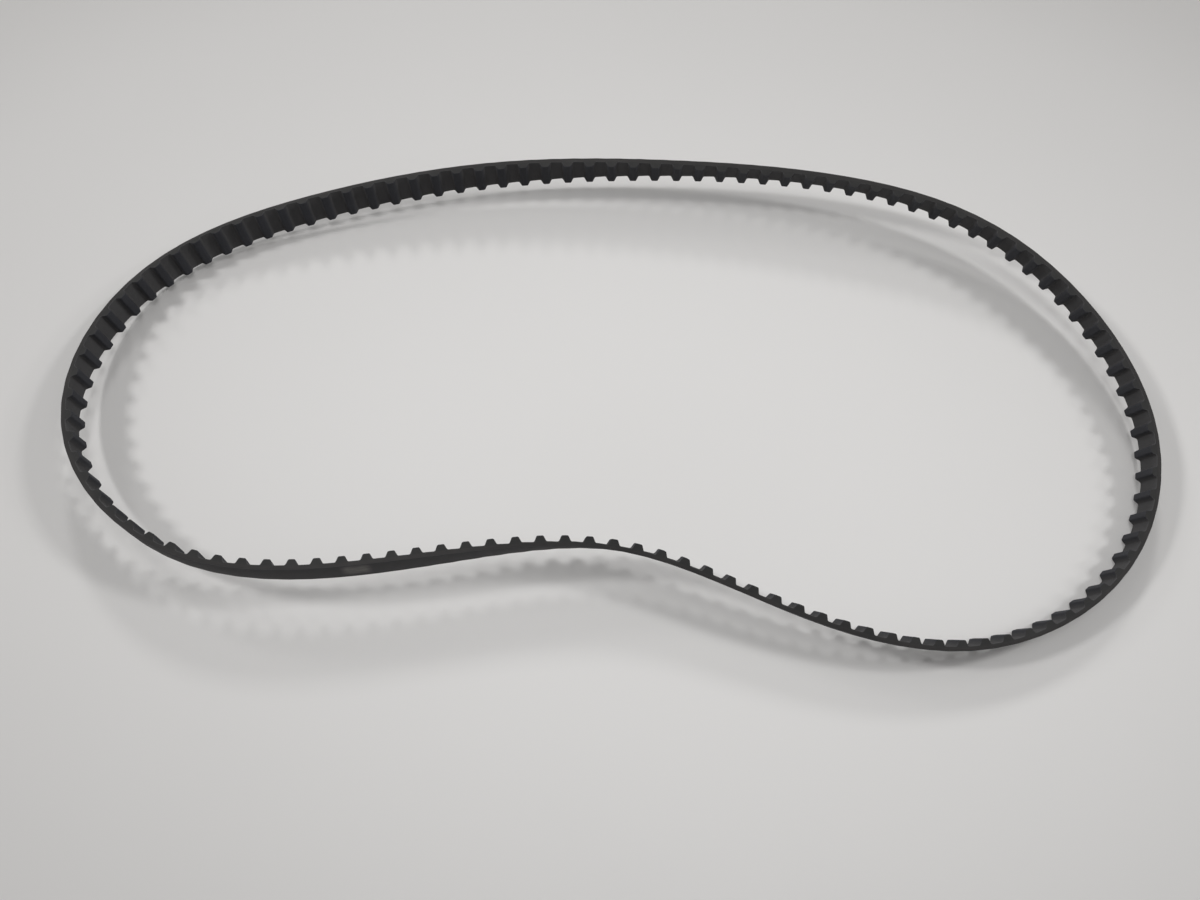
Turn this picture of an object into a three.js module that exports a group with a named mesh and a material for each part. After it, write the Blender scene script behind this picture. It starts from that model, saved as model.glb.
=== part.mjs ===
// Endless synchronous (timing) belt, 114 teeth of 5.08 mm pitch, 6.35 mm wide.
// It stands on one edge, unmounted, in the kidney shape that a free belt takes.
// Millimetres, +Z up, origin at the middle of the belt's box on the table.
import * as THREE from 'three';

// Belt section, measured from the pitch line; outwards is positive.
const TEETH = 114;
const WIDTH = 6.35;
const THICKNESS = 2.30;
const TOOTH_HEIGHT = 1.27;
const TOOTH_BASE = 2.57;
const TOOTH_TIP = 1.37;
const LAND = -0.254;
const TIP = LAND - TOOTH_HEIGHT;
const BACK = THICKNESS + TIP;

// Layers.
const FACING = 0.10;
const LAND_RUBBER = 0.06;
const CORD_BED = LAND + FACING + LAND_RUBBER;
const CORD_BED_HEIGHT = 0.38;
const BACKING_ROOF = CORD_BED + CORD_BED_HEIGHT;
const EDGE_RUBBER = 0.50;
const CORD_SIZE = 0.26;
const CORD_MIDDLE = (CORD_BED + BACKING_ROOF) / 2;
const CORD_SPACING = 0.70;
const CORD_TURNS = 3;

// Free shape: guide points of a closed cubic B-spline, anticlockwise seen from above.
// Each is x, y, the height of the back's lower edge, and the lean of the belt outwards at
// its top, in degrees. The belt touches the table at the near right and the far left.
const GUIDE = [
  [6, 53, 4.5, -7],
  [-36, 47, 3, 15],
  [-75, 33, 1.5, 27],
  [-113, 13, -1, 32],
  [-123, -31, 4.5, -2],
  [-87, -59, 7, -2],
  [-40, -48, 7, -16],
  [2, -34, 6, 17],
  [34, -45, 5, 11],
  [79, -54, 0.5, 8],
  [117, -31, -1, 3],
  [123, 10, 1, 9],
  [87, 48, 5.5, -2],
  [46, 55, 7, -15],
];
const ORIGIN = new THREE.Vector3(0.657, 0.315, -0.425);
const FIRST_LAND = 2.1;

// Stretches of the belt between the places where it bends, as counts of lands round the loop.
const STRETCHES = {
  far_left: [0, 11],
  left_bend: [11, 44],
  near_span: [44, 71],
  right_bend: [71, 98],
  far_right: [98, TEETH],
};
const BEND_GAP = 0.8;
const SEAM_GAP = 0.3;

const COLOURS = {
  backing: { color: 0x33322f, roughness: 0.85 },
  tooth_rubber: { color: 0x232325, roughness: 0.9 },
  tooth_facing: { color: 0x1b1c22, roughness: 0.7 },
  s_cord: { color: 0xc9b98f, roughness: 0.6 },
  z_cord: { color: 0xa58f63, roughness: 0.6 },
};

// Guide values at t, from 0 to 1 round the loop.
function guideAt(t) {
  const count = GUIDE.length;
  const place = (t - Math.floor(t)) * count;
  const first = Math.floor(place);
  const u = place - first;
  const weights = [
    (1 - u) ** 3,
    3 * u ** 3 - 6 * u ** 2 + 4,
    -3 * u ** 3 + 3 * u ** 2 + 3 * u + 1,
    u ** 3,
  ];
  const blend = (column) => weights.reduce(
    (sum, weight, k) => sum + weight * GUIDE[(first - 1 + k + count) % count][column], 0);
  return [0, 1, 2, 3].map((column) => blend(column) / 6);
}

// The pitch line at the middle of the belt's width.
class PitchLine extends THREE.Curve {
  constructor() {
    super();
    this.arcLengthDivisions = 4000;
  }

  getPoint(t, target = new THREE.Vector3()) {
    const [x, y, lift, lean] = guideAt(t);
    const angle = THREE.MathUtils.degToRad(lean);
    const z = lift + WIDTH / 2 * Math.cos(angle) + BACK * Math.sin(angle);
    return target.set(x, y, z).sub(ORIGIN);
  }
}

const pitchLine = new PitchLine();
const PITCH = pitchLine.getLength() / TEETH;

// Axes of the belt at the middle of land k: outwards from the back, and across its width.
function landFrame(k) {
  const distance = (FIRST_LAND + (k % TEETH) * PITCH) / pitchLine.getLength();
  const t = pitchLine.getUtoTmapping(distance % 1);
  const along = pitchLine.getTangent(t);
  const level = new THREE.Vector3(along.y, -along.x, 0).normalize();
  const upright = new THREE.Vector3().crossVectors(level, along);
  const lean = THREE.MathUtils.degToRad(guideAt(t)[3]);
  const turned = (a, b, sign) => a.clone().multiplyScalar(Math.cos(lean))
    .addScaledVector(b, sign * Math.sin(lean));
  return {
    point: pitchLine.getPoint(t),
    outward: turned(level, upright, -1),
    across: turned(upright, level, 1),
  };
}

const frames = Array.from({ length: TEETH + 1 }, (_, k) => landFrame(k));

// A point of the belt: s along it, n outwards and d across. The belt is straight from the
// middle of one land to the middle of the next, because the teeth stay stiff and the lands bend.
function placed([s, n, d]) {
  const k = Math.min(Math.floor(s / PITCH + 1e-9), TEETH - 1);
  const at = ({ point, outward, across }) => point.clone()
    .addScaledVector(outward, n)
    .addScaledVector(across, d);
  return at(frames[k]).lerp(at(frames[k + 1]), s / PITCH - k);
}

// Ends of a stretch, short of its neighbours by half the gap.
function ends([first, last]) {
  const gapAt = (k) => (k % TEETH === 0 ? SEAM_GAP : BEND_GAP);
  return [first * PITCH + gapAt(first) / 2, last * PITCH - gapAt(last) / 2];
}

// Stations of the smooth layers: both ends and the land middles between them.
function landStations([first, last]) {
  const [start, end] = ends([first, last]);
  const between = Array.from({ length: last - first - 1 }, (_, i) => (first + 1 + i) * PITCH);
  return [start, ...between, end];
}

// Outline of the toothed side as s and n pairs, moved into the belt by inset.
function toothOutline([first, last], inset) {
  const slope = (TOOTH_BASE - TOOTH_TIP) / 2 / TOOTH_HEIGHT;
  const narrowing = inset * (Math.sqrt(1 + slope ** 2) - slope);
  const base = TOOTH_BASE / 2 - narrowing;
  const tip = TOOTH_TIP / 2 - narrowing;
  const [start, end] = ends([first, last]);
  const outline = [[start, LAND + inset]];
  for (let k = first; k < last; k += 1) {
    const middle = (k + 0.5) * PITCH;
    outline.push([middle - base, LAND + inset], [middle - tip, TIP + inset]);
    outline.push([middle + tip, TIP + inset], [middle + base, LAND + inset]);
    outline.push([k + 1 < last ? (k + 1) * PITCH : end, LAND + inset]);
  }
  return outline;
}

// Triangles between two stations for the side from a to b of a section, where a1 and b1 are the
// same points one station on. The diagonal always runs from the lower edge to the upper one.
function sideFaces(a, b, a1, b1) {
  return b[2] < a[2] ? [[a, a1, b], [a1, b1, b]] : [[a, a1, b1], [a, b1, b]];
}

// A closed solid from rings of section points; each ring turns anticlockwise in n and d.
function sweep(rings) {
  const triangles = [];
  for (let i = 0; i + 1 < rings.length; i += 1) {
    rings[i].forEach((a, j) => {
      const next = (j + 1) % rings[i].length;
      triangles.push(...sideFaces(a, rings[i][next], rings[i + 1][j], rings[i + 1][next]));
    });
  }
  const flat = rings[0].map(([, n, d]) => new THREE.Vector2(n, d));
  for (const [a, b, c] of THREE.ShapeUtils.triangulateShape(flat, [])) {
    const start = rings[0];
    const end = rings[rings.length - 1];
    triangles.push([start[a], start[b], start[c]], [end[a], end[c], end[b]]);
  }
  return triangles;
}

// Rubber behind the cords, with an edge strip down each side that closes the cord bed.
function backing(stretch) {
  const half = WIDTH / 2;
  const inner = half - EDGE_RUBBER;
  return sweep(landStations(stretch).map((s) => [
    [s, BACK, -half],
    [s, BACK, half],
    [s, CORD_BED, half],
    [s, CORD_BED, inner],
    [s, BACKING_ROOF, inner],
    [s, BACKING_ROOF, -inner],
    [s, CORD_BED, -inner],
    [s, CORD_BED, -half],
  ]));
}

// One turn of a cord. The two cords are wound side by side, so a turn climbs two spacings.
function cordTurn(stretch, place) {
  const start = (place - CORD_TURNS - 0.5) * CORD_SPACING;
  const r = CORD_SIZE / 2;
  return sweep(landStations(stretch).map((s) => {
    const d = start + 2 * CORD_SPACING * s / (TEETH * PITCH);
    return [[r, -r], [r, r], [-r, r], [-r, -r]]
      .map(([n, across]) => [s, CORD_MIDDLE + n, d + across]);
  }));
}

// Nylon facing over the teeth and the lands between them.
function toothFacing(stretch) {
  const half = WIDTH / 2;
  const skin = toothOutline(stretch, 0);
  const bond = toothOutline(stretch, FACING);
  return sweep(skin.map(([s, n], i) => {
    const [bondS, bondN] = bond[i];
    return [[s, n, -half], [bondS, bondN, -half], [bondS, bondN, half], [s, n, half]];
  }));
}

// Teeth and the thin rubber that joins them under the cords.
function toothRubber(stretch) {
  const half = WIDTH / 2;
  const columns = [-half, EDGE_RUBBER - half, half - EDGE_RUBBER, half];
  const bed = landStations(stretch);
  const outline = toothOutline(stretch, FACING);
  const triangles = [];
  const under = (i, d) => [...outline[i], d];
  const over = (i, d) => [bed[i], CORD_BED, d];
  for (let i = 0; i + 1 < outline.length; i += 1) {
    triangles.push(...sideFaces(under(i, half), under(i, -half),
      under(i + 1, half), under(i + 1, -half)));
  }
  for (let i = 0; i + 1 < bed.length; i += 1) {
    for (let j = 0; j + 1 < columns.length; j += 1) {
      const [low, high] = [columns[j], columns[j + 1]];
      triangles.push(...sideFaces(over(i, low), over(i, high), over(i + 1, low), over(i + 1, high)));
    }
    // Both edge faces of one tooth with its share of the lands.
    const corners = (d) => [over(i, d), over(i + 1, d)]
      .concat([0, 1, 2, 3, 4, 5].map((j) => under(5 * i + j, d)));
    for (const face of [[0, 2, 3], [0, 3, 1], [1, 3, 6], [1, 6, 7], [3, 4, 5], [3, 5, 6]]) {
      triangles.push(face.map((j) => corners(-half)[j]));
      triangles.push(face.map((j) => corners(half)[j]).reverse());
    }
  }
  const cap = (i, j) => [under(i, -half), ...columns.map((d) => over(j, d)), under(i, half)];
  const start = cap(0, 0);
  const end = cap(outline.length - 1, bed.length - 1);
  for (let j = 1; j + 1 < start.length; j += 1) {
    triangles.push([start[0], start[j], start[j + 1]], [end[0], end[j + 1], end[j]]);
  }
  return triangles;
}

function mesh(name, triangles, colour) {
  const geometry = new THREE.BufferGeometry().setFromPoints(triangles.flat().map(placed));
  geometry.computeVertexNormals();
  const piece = new THREE.Mesh(geometry, new THREE.MeshStandardMaterial({ ...colour, metalness: 0 }));
  piece.name = name;
  return piece;
}

const belt = new THREE.Group();
for (const [name, stretch] of Object.entries(STRETCHES)) {
  belt.add(mesh(`${name}_backing`, backing(stretch), COLOURS.backing));
  belt.add(mesh(`${name}_tooth_rubber`, toothRubber(stretch), COLOURS.tooth_rubber));
  belt.add(mesh(`${name}_tooth_facing`, toothFacing(stretch), COLOURS.tooth_facing));
  for (let turn = 0; turn < CORD_TURNS; turn += 1) {
    belt.add(mesh(`${name}_s_cord_turn_${turn + 1}`, cordTurn(stretch, 2 * turn), COLOURS.s_cord));
    belt.add(mesh(`${name}_z_cord_turn_${turn + 1}`, cordTurn(stretch, 2 * turn + 1), COLOURS.z_cord));
  }
}

export default belt;
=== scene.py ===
"""Looks of an endless timing belt that stands on one edge in a loose kidney shape.

Lengths are millimetres until a mesh is made. A point of the belt is s along it, n outwards
from the pitch line and d across the width; `placed` turns those three into a place.
"""

import math

import bpy
import numpy as np
from mathutils import Matrix, Vector


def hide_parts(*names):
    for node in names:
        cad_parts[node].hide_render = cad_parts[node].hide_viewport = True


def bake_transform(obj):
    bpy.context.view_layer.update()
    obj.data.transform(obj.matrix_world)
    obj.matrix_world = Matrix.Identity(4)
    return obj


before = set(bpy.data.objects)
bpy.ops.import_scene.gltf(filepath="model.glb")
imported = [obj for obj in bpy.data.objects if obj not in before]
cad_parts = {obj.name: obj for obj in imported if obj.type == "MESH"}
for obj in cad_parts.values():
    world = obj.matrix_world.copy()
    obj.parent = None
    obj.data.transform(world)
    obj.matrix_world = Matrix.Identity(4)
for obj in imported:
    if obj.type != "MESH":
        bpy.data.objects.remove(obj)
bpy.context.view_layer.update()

MM = 0.001

# Section of the belt.
TEETH = 114
WIDTH = 6.35
THICKNESS = 2.30
TOOTH_HEIGHT = 1.27
TOOTH_BASE = 2.57
TOOTH_TIP = 1.37
CORNER_RADIUS = 0.38
LAND = -0.254
TIP = LAND - TOOTH_HEIGHT
BACK = THICKNESS + TIP
HALF = WIDTH / 2

# Layers.
FACING = 0.10
CORD_BED = LAND + FACING + 0.06
BACKING_ROOF = CORD_BED + 0.38
EDGE_RUBBER = 0.50
EDGE_ROUND = 0.12
CORD_RADIUS = 0.13
CORD_MIDDLE = (CORD_BED + BACKING_ROOF) / 2
CORD_SPACING = 0.70
CORD_TURNS = 3
PLIES = 3
PLY_SHARE = 0.14
PLY_TWIST = 4.2

# Spacing of the facing's threads, across the belt and along it.
WARP_SPACING = 0.28
WEFT_SPACING = 0.36

# Worn mark on the back: the land it is at, its place across, and how far from its middle it starts
# and ends to fade, along the belt and across it.
MARK_LAND = 47.0
MARK_ACROSS = 0.5
MARK_FADE_ALONG = (1.44, 3.6)
MARK_FADE_ACROSS = (1.0, 2.9)

# Points to a curve.
PATH_POINTS = 28001
ARC_POINTS = 6
EDGE_POINTS = 4
LAND_STEPS = 3
CORD_POINTS = 12

# Free shape: x, y, height of the back's lower edge, and lean outwards at the top in degrees, then
# the point of it that the frame has at 0, 0, 0, and how far along it land 0 is.
GUIDE = np.array([
    [6, 53, 4.5, -7],
    [-36, 47, 3, 15],
    [-75, 33, 1.5, 27],
    [-113, 13, -1, 32],
    [-123, -31, 4.5, -2],
    [-87, -59, 7, -2],
    [-40, -48, 7, -16],
    [2, -34, 6, 17],
    [34, -45, 5, 11],
    [79, -54, 0.5, 8],
    [117, -31, -1, 3],
    [123, 10, 1, 9],
    [87, 48, 5.5, -2],
    [46, 55, 7, -15],
], float)
ORIGIN = np.array([0.657, 0.315, -0.425])
FIRST_LAND = 2.1

# Quarters of the loop: first and last land, the two bodies it joins, and the land at its hinge.
# The stretch worked out about a hinge reaches this length each way from it.
QUARTERS = {
    "far_left_quarter": (0, 28, "far_left", "left_bend", 11),
    "near_left_quarter": (28, 58, "left_bend", "near_span", 44),
    "near_right_quarter": (58, 85, "near_span", "right_bend", 71),
    "far_right_quarter": (85, TEETH, "right_bend", "far_right", 98),
}
BEND_REACH = 25.0


# ---------------------------------------------------------------- the belt's path

def guide_at(t):
    """Closed uniform cubic B-spline with the guide's rows as control points; t runs from 0 to 1
    round the loop."""
    t = np.asarray(t, float) % 1 * len(GUIDE)
    first = np.floor(t).astype(int)
    u = (t - first)[..., None]
    weights = (1 - u) ** 3, 3 * u**3 - 6 * u**2 + 4, -3 * u**3 + 3 * u**2 + 3 * u + 1, u**3
    return sum(w * GUIDE[(first - 1 + k) % len(GUIDE)] for k, w in enumerate(weights)) / 6


def pitch_line(t):
    """Guide's x and y; height = lower edge + half the width leaned + the back's offset leaned."""
    x, y, lift, lean = np.moveaxis(guide_at(t), -1, 0)
    lean = np.radians(lean)
    return np.stack([x, y, lift + HALF * np.cos(lean) + BACK * np.sin(lean)], -1) - ORIGIN


def unit(v):
    """v divided by its length."""
    return v / np.linalg.norm(v, axis=-1, keepdims=True)


fine = np.linspace(0, 1, PATH_POINTS)
steps = np.linalg.norm(np.diff(pitch_line(fine), axis=0), axis=1)
travelled = np.concatenate([[0], np.cumsum(steps)])
LOOP = travelled[-1]
PITCH = LOOP / TEETH


def land_frames():
    """Pitch point and across axis at each land's middle: level = along turned a quarter about the
    vertical, upright = level x along, and across = upright cos lean + level sin lean."""
    t = np.interp((FIRST_LAND + np.arange(TEETH) * PITCH) % LOOP, travelled, fine)
    step = 1e-5
    along = unit(pitch_line(t + step) - pitch_line(t - step))
    level = unit(np.stack([along[:, 1], -along[:, 0], 0 * t], -1))
    upright = np.cross(level, along)
    lean = np.radians(guide_at(t)[:, 3:])
    return pitch_line(t), upright * np.cos(lean) + level * np.sin(lean)


land_point, land_across = land_frames()


def tooth_frames():
    """One stiff frame for each tooth, halfway between its two lands, squared up to their chord."""
    chord = np.roll(land_point, -1, 0) - land_point
    along = unit(chord)
    across = land_across + np.roll(land_across, -1, 0)
    across = unit(across - along * (across * along).sum(-1, keepdims=True))
    return land_point + chord / 2, along, np.cross(along, across), across


tooth_middle, tooth_along, tooth_outward, tooth_across = tooth_frames()


def placed(s, n, d):
    """Place of belt points, in mm. A tooth's base is stiff and straight. Between two teeth the
    pitch line is a cubic Hermite curve in line with both, and the outward and across axes go
    from one tooth's to the next by 3u^2 - 2u^3."""
    s, n, d = np.broadcast_arrays(np.asarray(s, float), n, d)
    cell = s / PITCH - 0.5
    nudge = 1e-9
    behind = np.floor(cell + nudge).astype(int)
    gap = PITCH - TOOTH_BASE
    past = (cell - behind) * PITCH - TOOTH_BASE / 2
    u = np.clip(past / gap, 0, 1)[..., None]
    a, b = behind % TEETH, (behind + 1) % TEETH
    leave = tooth_middle[a] + tooth_along[a] * TOOTH_BASE / 2
    join = tooth_middle[b] - tooth_along[b] * TOOTH_BASE / 2
    ease = u * u * (3 - 2 * u)
    point = leave * (1 - ease) + join * ease
    point = point + gap * (u * (1 - u) ** 2 * tooth_along[a] - u * u * (1 - u) * tooth_along[b])
    point = point + tooth_along[a] * np.minimum(past, 0)[..., None]
    point = point + tooth_along[b] * np.maximum(past - gap, 0)[..., None]
    outward = unit(tooth_outward[a] * (1 - ease) + tooth_outward[b] * ease)
    across = unit(tooth_across[a] * (1 - ease) + tooth_across[b] * ease)
    return point + outward * n[..., None] + across * d[..., None]


# ---------------------------------------------------------------- meshes

def swept(name, s, n, d, materials, column_material=None, sharp=35):
    """Closed solid from rings of section points. s, n and d are arrays of stations by columns;
    column j of a station joins column j + 1, round to the first, and each end is capped.
    column_material gives the material of the faces that start at each column."""
    s, n, d = (np.array(a, float) for a in np.broadcast_arrays(s, n, d))
    rows, columns = s.shape
    grid = np.arange(rows * columns).reshape(rows, columns)
    ahead = np.roll(grid, -1, 1)
    quads = np.stack([grid[:-1], grid[1:], ahead[1:], ahead[:-1]], -1).reshape(-1, 4)
    mesh = bpy.data.meshes.new(name)
    caps = [grid[0].tolist(), grid[-1][::-1].tolist()]
    mesh.from_pydata((placed(s, n, d) * MM).reshape(-1, 3), [], quads.tolist() + caps)
    belt_place = mesh.attributes.new("belt_place", "FLOAT_VECTOR", "POINT")
    flat = (np.stack([s, n, d], -1) * MM).astype(np.float32).ravel()
    belt_place.data.foreach_set("vector", flat)
    for material in materials:
        mesh.materials.append(material)
    if column_material is not None:
        slots = np.concatenate([np.tile(column_material, rows - 1), np.zeros(len(caps))])
        mesh.polygons.foreach_set("material_index", slots.astype(np.int32))
    mesh.polygons.foreach_set("use_smooth", np.ones(len(mesh.polygons), bool))
    mesh.update()
    mesh.set_sharp_from_angle(angle=math.radians(sharp))
    piece = bpy.data.objects.new(name, mesh)
    bpy.context.scene.collection.objects.link(piece)
    return piece


def tooth_outline(inset):
    """One pitch of the toothed side, land middle to land middle, as s from the tooth's middle and
    n. Lands, flanks and tip are straight lines joined by arcs about fixed centres: the root arc's
    radius grows by inset and the tip arc's shrinks by it, so the line moves evenly into the
    belt."""
    turn = math.pi / 2 - math.atan((TOOTH_BASE - TOOTH_TIP) / 2 / TOOTH_HEIGHT)
    run = CORNER_RADIUS * math.tan(turn / 2)
    angle = np.linspace(0, turn, ARC_POINTS)
    root = np.stack([
        -TOOTH_BASE / 2 - run + (CORNER_RADIUS + inset) * np.sin(angle),
        LAND - CORNER_RADIUS + (CORNER_RADIUS + inset) * np.cos(angle),
    ], -1)
    tip = np.stack([
        -TOOTH_TIP / 2 + run - (CORNER_RADIUS - inset) * np.sin(angle[::-1]),
        TIP + CORNER_RADIUS - (CORNER_RADIUS - inset) * np.cos(angle[::-1]),
    ], -1)
    land_s = np.linspace(-PITCH / 2, root[0, 0], LAND_STEPS, endpoint=False)
    start = np.stack([land_s, np.full(LAND_STEPS, LAND + inset)], -1)
    rising = np.concatenate([start, root, tip])
    falling = rising[::-1] * [-1, 1]
    return np.concatenate([rising, [[0, TIP + inset]], falling])


def toothed_stations(first, last, inset):
    """The outline of every tooth from land first to land last, as columns s and n."""
    one = tooth_outline(inset)
    middles = (np.arange(first, last) + 0.5) * PITCH
    shift = np.stack([middles, 0 * middles], -1)
    every = np.tile(one[:-1], (len(middles), 1)) + np.repeat(shift, len(one) - 1, axis=0)
    every = np.concatenate([every, one[-1:] + shift[-1]])
    return every[:, :1], every[:, 1:]


def plain_stations(first, last, per_pitch=8):
    """Evenly spaced s from land first to land last, as one column."""
    return (np.linspace(first, last, (last - first) * per_pitch + 1) * PITCH)[:, None]


def backing(name, first, last):
    """C-shaped section: a flat back with rounded edges, and an edge strip down each side of the
    cord bed. Each rounded edge is a quarter circle of EDGE_ROUND. The two faces from a rounded
    edge to the cord bed are the cut ones."""
    inner = HALF - EDGE_RUBBER
    quarter = np.linspace(0, math.pi / 2, EDGE_POINTS)
    round_n = BACK - EDGE_ROUND * (1 - np.cos(quarter))
    round_d = HALF - EDGE_ROUND * (1 - np.sin(quarter))
    bed_n = [CORD_BED, CORD_BED, BACKING_ROOF, BACKING_ROOF, CORD_BED, CORD_BED]
    n = np.concatenate([round_n[::-1], round_n, bed_n])
    d = np.concatenate([-round_d[::-1], round_d, [HALF, inner, inner, -inner, -inner, -HALF]])
    slot = np.zeros(len(n))
    slot[[2 * EDGE_POINTS - 1, -1]] = 1
    return swept(name, plain_stations(first, last), n, d, [BACK_RUBBER, BACKING_CUT], slot)


def tooth_rubber(name, first, last):
    """Teeth and the thin rubber under the cords: the inset outline below, the cord bed above."""
    s, n = toothed_stations(first, last, FACING)
    bed = np.full_like(n, CORD_BED)
    return swept(name, s, np.hstack([n, bed, bed, n]), [-HALF, -HALF, HALF, HALF], [TOOTH_CUT])


def tooth_facing(name, first, last):
    """Cloth over the teeth and lands: outline at the skin, and again inset by the thickness. The
    skin's two edges are eased by half the thickness."""
    skin_s, skin_n = toothed_stations(first, last, 0)
    bond_s, bond_n = toothed_stations(first, last, FACING)
    ease = FACING / 2
    mid_s, mid_n = (skin_s + bond_s) / 2, (skin_n + bond_n) / 2
    s = np.hstack([skin_s, mid_s, bond_s, bond_s, mid_s, skin_s])
    n = np.hstack([skin_n, mid_n, bond_n, bond_n, mid_n, skin_n])
    d = [ease - HALF, -HALF, -HALF, HALF, HALF, HALF - ease]
    return swept(name, s, n, d, [FACING_CLOTH])


def cord_turn(name, first, last, place, twist):
    """One turn of a twisted cord: its radius is the cord's times 1 - share + share cos(plies
    (angle - twist s)). The two cords lie side by side, so d climbs by two spacings in a turn."""
    s = plain_stations(first, last, CORD_POINTS)
    angle = np.linspace(0, math.tau, CORD_POINTS, endpoint=False)[::-1]
    ply = np.cos(PLIES * (angle - twist * s))
    radius = CORD_RADIUS * (1 - PLY_SHARE + PLY_SHARE * ply)
    start = (place - CORD_TURNS - 0.5) * CORD_SPACING
    d = start + 2 * CORD_SPACING * s / (TEETH * PITCH) + radius * np.cos(angle)
    material = CORD_S if twist > 0 else CORD_Z
    return swept(name, s, CORD_MIDDLE + radius * np.sin(angle), d, [material], sharp=80)


# ---------------------------------------------------------------- materials

class Wire:
    """An output socket of a material. Arithmetic on it adds Math nodes beside it."""

    def __init__(self, socket):
        self.socket = socket

    def add(self, kind, settings=None, inputs=None, output=0):
        """Adds a node of that kind, makes its settings, then fills or links its inputs."""
        tree = self.socket.id_data
        node = tree.nodes.new("ShaderNode" + kind)
        for name, value in (settings or {}).items():
            setattr(node, name, value)
        for name, value in (inputs or {}).items():
            if isinstance(value, Wire):
                tree.links.new(value.socket, node.inputs[name])
            else:
                node.inputs[name].default_value = value
        return Wire(node.outputs[output])

    def math(self, operation, *values):
        return self.add("Math", {"operation": operation}, dict(enumerate(values)))

    def __add__(self, other):
        return self.math("ADD", self, other)

    def __sub__(self, other):
        return self.math("SUBTRACT", self, other)

    def __rsub__(self, other):
        return self.math("SUBTRACT", other, self)

    def __mul__(self, other):
        return self.math("MULTIPLY", self, other)

    __radd__ = __add__
    __rmul__ = __mul__

    def wave(self):
        """Sine of the value."""
        return self.math("SINE", self)

    def size(self):
        """Value without its sign."""
        return self.math("ABSOLUTE", self)

    def within(self, low, high):
        """0 below low, 1 above high, smooth between them."""
        return self.add("MapRange", {"interpolation_type": "SMOOTHSTEP"},
                        {"Value": self, "From Min": low, "From Max": high})

    def stretched(self, along, outwards, across):
        """A vector with its three parts scaled."""
        return self.add("VectorMath", {"operation": "MULTIPLY"},
                        {0: self, 1: (along, outwards, across)})

    def noise(self, scale, detail):
        """Noise on a vector, from 0 to 1."""
        return self.add("TexNoise", None, {
            "Vector": self, "Scale": scale, "Detail": detail, "Roughness": 0.55})

    def tint(self, low, high):
        """Colour low where the value is 0, high where it is 1."""
        return self.add("Mix", {"data_type": "RGBA"}, {0: self, 6: low, 7: high}, 2)


def grey(level, warmth=0.0, rose=0.0):
    """Linear colour of a grey given as it looks on screen, 0 to 255. Warmth tips it from blue to
    red, and rose away from green."""
    parts = np.array([level * (1 + warmth), level * (1 - rose), level * (1 - warmth)]) / 255
    return (*np.where(parts <= 0.04045, parts / 12.92, ((parts + 0.055) / 1.055) ** 2.4), 1.0)


def finish(name, **constants):
    """A new material: its shader, and the wires of its places in the belt and in space."""
    material = bpy.data.materials.new(name)
    material.use_nodes = True
    tree = material.node_tree
    tree.nodes.clear()
    shader = tree.nodes.new("ShaderNodeBsdfPrincipled")
    output = tree.nodes.new("ShaderNodeOutputMaterial")
    tree.links.new(shader.outputs[0], output.inputs["Surface"])
    for socket, value in constants.items():
        shader.inputs[socket.replace("_", " ")].default_value = value
    attribute = tree.nodes.new("ShaderNodeAttribute")
    attribute.attribute_name = "belt_place"
    space = tree.nodes.new("ShaderNodeTexCoord")

    def use(colour, roughness, height=None, depth=None):
        """Links what varies over the surface; height is a bump of that depth in metres."""
        tree.links.new(colour.socket, shader.inputs["Base Color"])
        tree.links.new(roughness.socket, shader.inputs["Roughness"])
        if height is not None:
            bump = height.add("Bump", None, {"Height": height, "Distance": depth})
            tree.links.new(bump.socket, shader.inputs["Normal"])

    return material, Wire(attribute.outputs["Vector"]), Wire(space.outputs["Object"]), use


def parts_of(wire):
    """The three numbers of a vector."""
    node = wire.add("SeparateXYZ", None, {0: wire}).socket.node
    return [Wire(socket) for socket in node.outputs]


def back_rubber():
    """Ground back: fine grinding lines along the belt, a mottled matt bloom, and a worn patch of
    printing ink with nothing legible left."""
    material, place, _, use = finish("back_rubber", Specular_IOR_Level=0.35)
    s, _, d = parts_of(place)
    ground = place.stretched(60, 300, 9000).noise(1.0, 4)
    grain = place.noise(9000, 2)
    bloom = place.stretched(1, 1, 2).noise(120, 4)
    off_end = (s - MARK_LAND * PITCH * MM).size().within(*[v * MM for v in MARK_FADE_ALONG])
    off_side = (d - MARK_ACROSS * MM).size().within(*[v * MM for v in MARK_FADE_ACROSS])
    rubbed = place.stretched(0.25, 1, 1.5).noise(1500, 2).within(0.3, 0.7)
    ink = (1 - off_end) * (1 - off_side) * (rubbed * 0.4 + 0.5)
    colour = (bloom * 0.6 + grain * 0.4).tint(grey(56, -0.005, 0.015), grey(72, 0, 0.015))
    colour = (ink * 0.9).tint(colour, grey(126, 0.02))
    use(colour, bloom * 0.12 + 0.72, ground * 0.6 + grain * 0.4, 1.5e-5)
    return material


def cut_rubber(name, low, high):
    """Edge where the belt was cut from its sleeve: fine knife lines along it and small pits."""
    material, place, _, use = finish(name, Specular_IOR_Level=0.3)
    lines = place.stretched(40, 6000, 6000).noise(1.0, 3)
    pits = place.noise(5000, 3)
    bloom = place.noise(150, 3)
    colour = (lines * 0.3 + pits * 0.3 + bloom * 0.4).within(0.3, 0.7).tint(low, high)
    use(colour, pits * 0.15 + 0.72, lines * 0.5 + pits * 0.5, 2e-5)
    return material


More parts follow.
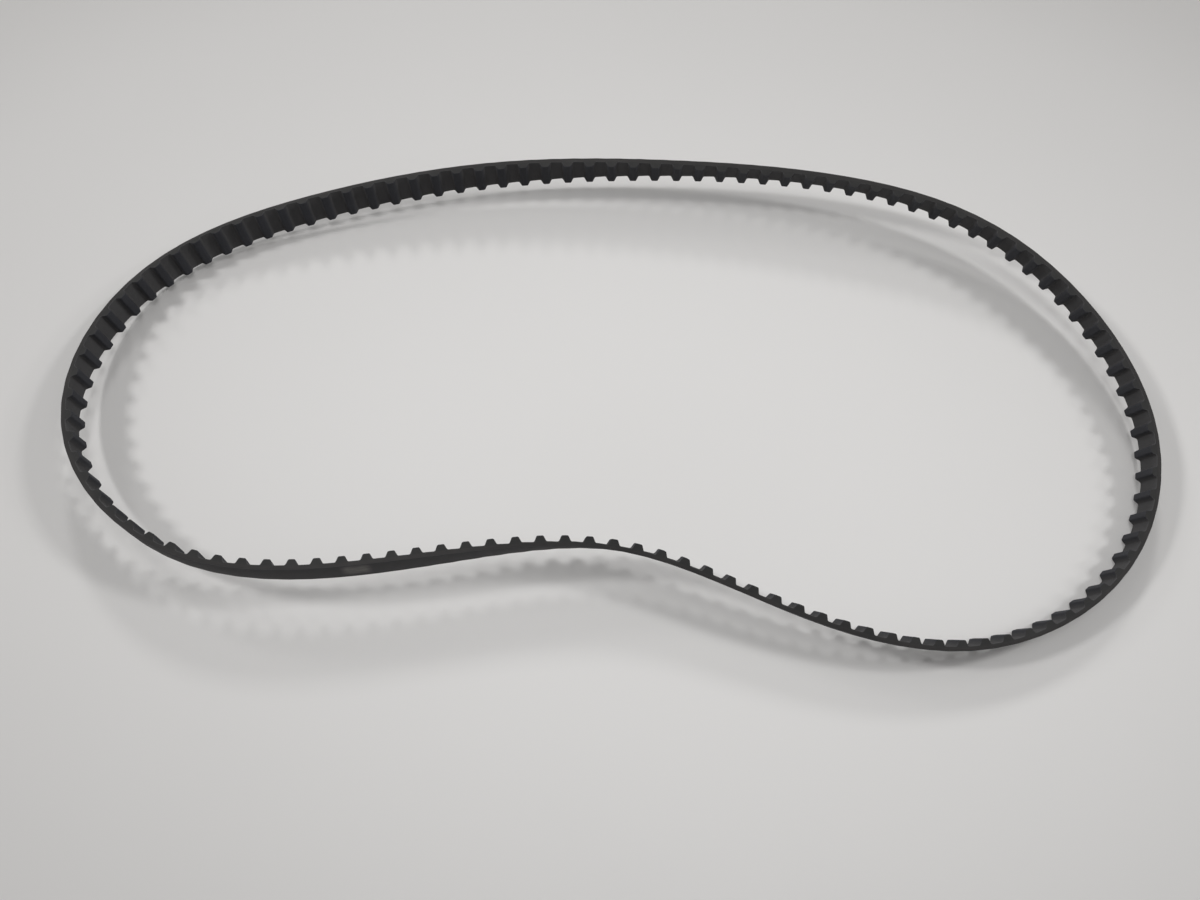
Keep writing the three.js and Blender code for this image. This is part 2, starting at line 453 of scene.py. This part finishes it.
def facing_cloth():
    """Nylon cloth: over-and-under threads, paler between the teeth as painted light, and darker as
    painted shade and smoother on their tips."""
    material, place, _, use = finish("facing_cloth", Specular_IOR_Level=0.2)
    s, n, d = parts_of(place)
    warp_turns, weft_turns = math.tau / (WARP_SPACING * MM), math.tau / (WEFT_SPACING * MM)
    warp = (d * warp_turns).wave()
    weft = (s * weft_turns + n * weft_turns).wave()
    weave = warp * weft * 0.5 + 0.5
    fuzz = place.noise(4000, 3)
    bloom = place.noise(140, 3)
    rooted = n.within((TIP + 0.15) * MM, (LAND - 0.15) * MM)
    mottle = (weave * 0.35 + fuzz * 0.3 + bloom * 0.35).within(0.25, 0.75)
    # Painted light and shade: the roots' colour is paler and the tips' colour darker than the
    # cloth's own tone.
    painted_shade_tips = mottle.tint(grey(48, -0.04, 0.03), grey(64, -0.04, 0.03))
    painted_light_roots = mottle.tint(grey(66, 0, 0.01), grey(82, 0, 0.01))
    roughness = rooted * 0.08 + fuzz * 0.1 + 0.72
    use(rooted.tint(painted_shade_tips, painted_light_roots), roughness, weave * 0.7 + fuzz * 0.3, 3e-5)
    return material


def cord_glass(name, low, high, twist):
    """Twisted glass cord: fine filaments that wind round it."""
    material, place, _, use = finish(name, Specular_IOR_Level=0.5)
    s, n, d = parts_of(place)
    wound = (s * twist + d * 20000 + n * 12000).wave() * 0.5 + 0.5
    fuzz = place.noise(9000, 2)
    colour = (wound * 0.6 + fuzz * 0.4).tint(low, high)
    use(colour, fuzz * 0.2 + 0.45, wound, 1e-5)
    return material


def floor_finish():
    """Smooth pale table top with a faint mottle and painted shade, darker away from its middle."""
    material, _, space, use = finish("table_top", Specular_IOR_Level=0.25)
    oval = space.stretched(0.73, 1, 1)
    # Painted light and shade: the colour is brightest at this point and darkens away from it, as
    # light falls off.
    painted_light_middle = (0.011, -0.025, 0)
    away = oval.add("VectorMath", {"operation": "DISTANCE"}, {0: oval, 1: painted_light_middle}, "Value")
    mottle = space.noise(18, 3)
    painted_falloff = away.within(0.025, 0.17) * 0.68 + away.within(0.13, 0.19) * 0.32
    colour = (painted_falloff + mottle * 0.04).tint(grey(227, 0.006), grey(185, 0.009))
    use(colour, mottle * 0.1 + 0.5)
    return material


BACK_RUBBER = back_rubber()
BACKING_CUT = cut_rubber("backing_cut", grey(42, 0.01, 0.01), grey(57, 0.02, 0.01))
TOOTH_CUT = cut_rubber("tooth_cut", grey(38), grey(54, 0.01))
FACING_CLOTH = facing_cloth()
CORD_S = cord_glass("cord_s", grey(170, 0.12), grey(214, 0.10), 9000)
CORD_Z = cord_glass("cord_z", grey(150, 0.14), grey(196, 0.12), -9000)


# ---------------------------------------------------------------- the belt

def join_bodies(piece, body, following, hinge, node):
    """Bakes a piece's transform into its mesh and hides the two bodies' parts of its node; the
    stretch about the hinge is worked out but not used.
    """
    middle = placed(hinge * PITCH, 0, 0)
    along = unit(placed(hinge * PITCH + 1, 0, 0) - placed(hinge * PITCH - 1, 0, 0)) * [1, 1, 0]
    start, end = (middle - along * BEND_REACH) * MM, (middle + along * BEND_REACH) * MM
    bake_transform(piece)
    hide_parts(f"{body}_{node}", f"{following}_{node}")


for quarter, (first, last, body, following, hinge) in QUARTERS.items():
    made = [
        (backing(f"{quarter}_backing", first, last), "backing", "backing_rubber"),
        (tooth_rubber(f"{quarter}_tooth_rubber", first, last), "tooth_rubber", "tooth_rubber"),
        (tooth_facing(f"{quarter}_tooth_facing", first, last), "tooth_facing", "tooth_facing"),
    ]
    for place in range(2 * CORD_TURNS):
        twist, way = (PLY_TWIST, "s") if place % 2 == 0 else (-PLY_TWIST, "z")
        node = f"{way}_cord_turn_{place // 2 + 1}"
        cord = cord_turn(f"{quarter}_{node}", first, last, place, twist)
        made.append((cord, node, "tension_cord"))
    for piece, node, slot in made:
        join_bodies(piece, body, following, hinge, node)


# ---------------------------------------------------------------- table, lights and camera

TABLE_ALBEDO = 0.75
TABLE_DROP = 0.00002
LAMP_REACH = 1.6

# Azimuth, elevation, share of the light and size of each lamp.
LAMPS = {
    "far_lamp": (350, 33, 0.081, 0.19),
    "right_lamp": (62, 42, 0.106, 0.19),
    "left_lamp": (279, 42, 0.139, 0.19),
    "low_right_lamp": (75, 35, 0.035, 0.19),
    "low_far_left_lamp": (309, 31, 0.035, 0.19),
    "far_left_lamp": (331, 54, 0.030, 0.40),
    "near_right_lamp": (106, 60, 0.022, 0.50),
    "overhead_lamp": (9, 83, 0.120, 0.80),
}


def table_top():
    """Flat disc a hair below the belt; a ring's radius grows as the square of its number."""
    rings, spokes, reach = 24, 96, 2.5
    radius = reach * (np.arange(1, rings + 1)[:, None] / rings) ** 2
    angle = np.linspace(0, math.tau, spokes, endpoint=False)
    ring = np.stack(np.broadcast_arrays(radius * np.cos(angle), radius * np.sin(angle), 0.0), -1)
    points = np.concatenate([ring.reshape(-1, 3), [[0, 0, 0]]])
    grid = np.arange(rings * spokes).reshape(rings, spokes)
    ahead = np.roll(grid, -1, 1)
    quads = np.stack([grid[:-1], grid[1:], ahead[1:], ahead[:-1]], -1).reshape(-1, 4)
    fan = np.stack([grid[0], ahead[0], np.full(spokes, len(points) - 1)], -1)
    mesh = bpy.data.meshes.new("table_top")
    mesh.from_pydata(points, [], quads.tolist() + fan.tolist())
    mesh.materials.append(floor_finish())
    table = bpy.data.objects.new("table_top", mesh)
    table.location.z = -TABLE_DROP
    bpy.context.scene.collection.objects.link(table)


def lamp(name, azimuth, elevation, share, size):
    """Square area light LAMP_REACH from the belt, facing it. Azimuth 0 is the far side, +Y, and 90
    is the right, +X, in degrees. Its power is share pi^2 reach^2 / (albedo sin elevation), which
    gives an open, level table that share of its brightness."""
    a, e = math.radians(azimuth), math.radians(elevation)
    way = Vector((math.sin(a) * math.cos(e), math.cos(a) * math.cos(e), math.sin(e)))
    data = bpy.data.lights.new(name, "AREA")
    data.size = size
    data.energy = share * math.pi**2 * LAMP_REACH**2 / (TABLE_ALBEDO * math.sin(e))
    light = bpy.data.objects.new(name, data)
    light.location = way * LAMP_REACH
    light.rotation_mode = "QUATERNION"
    light.rotation_quaternion = way.to_track_quat("Z", "Y")
    bpy.context.scene.collection.objects.link(light)


def camera():
    """Camera near overhead on the near side, rolled a little, aimed at a point of the table."""
    tilt, roll, distance = math.radians(73.84), math.radians(7.69), 0.2635
    aim = Vector((-0.00356, -0.01534, 0.00043))
    right = Vector((1, 0, 0))
    up = Vector((0, math.sin(tilt), math.cos(tilt)))
    ahead = Vector((0, math.cos(tilt), -math.sin(tilt)))
    turned = (math.cos(roll) * right + math.sin(roll) * up,
              math.cos(roll) * up - math.sin(roll) * right, -ahead)
    data = bpy.data.cameras.new("camera")
    data.lens, data.sensor_width = 35.55, 36.0
    data.clip_start, data.clip_end = 0.01, 20.0
    seat = bpy.data.objects.new("camera", data)
    seat.matrix_world = Matrix.Translation(aim - ahead * distance) @ Matrix(
        turned).transposed().to_4x4()
    bpy.context.scene.collection.objects.link(seat)
    bpy.context.scene.camera = seat


def surroundings(level, strength):
    """Even pale light from all round."""
    world = bpy.data.worlds.new("room")
    world.use_nodes = True
    background = world.node_tree.nodes["Background"]
    background.inputs["Color"].default_value = grey(level, 0.004)
    background.inputs["Strength"].default_value = strength
    bpy.context.scene.world = world


table_top()
surroundings(215, 0.20)
for lamp_name, settings in LAMPS.items():
    lamp(lamp_name, *settings)
camera()
bpy.context.scene.view_settings.view_transform = "Standard"
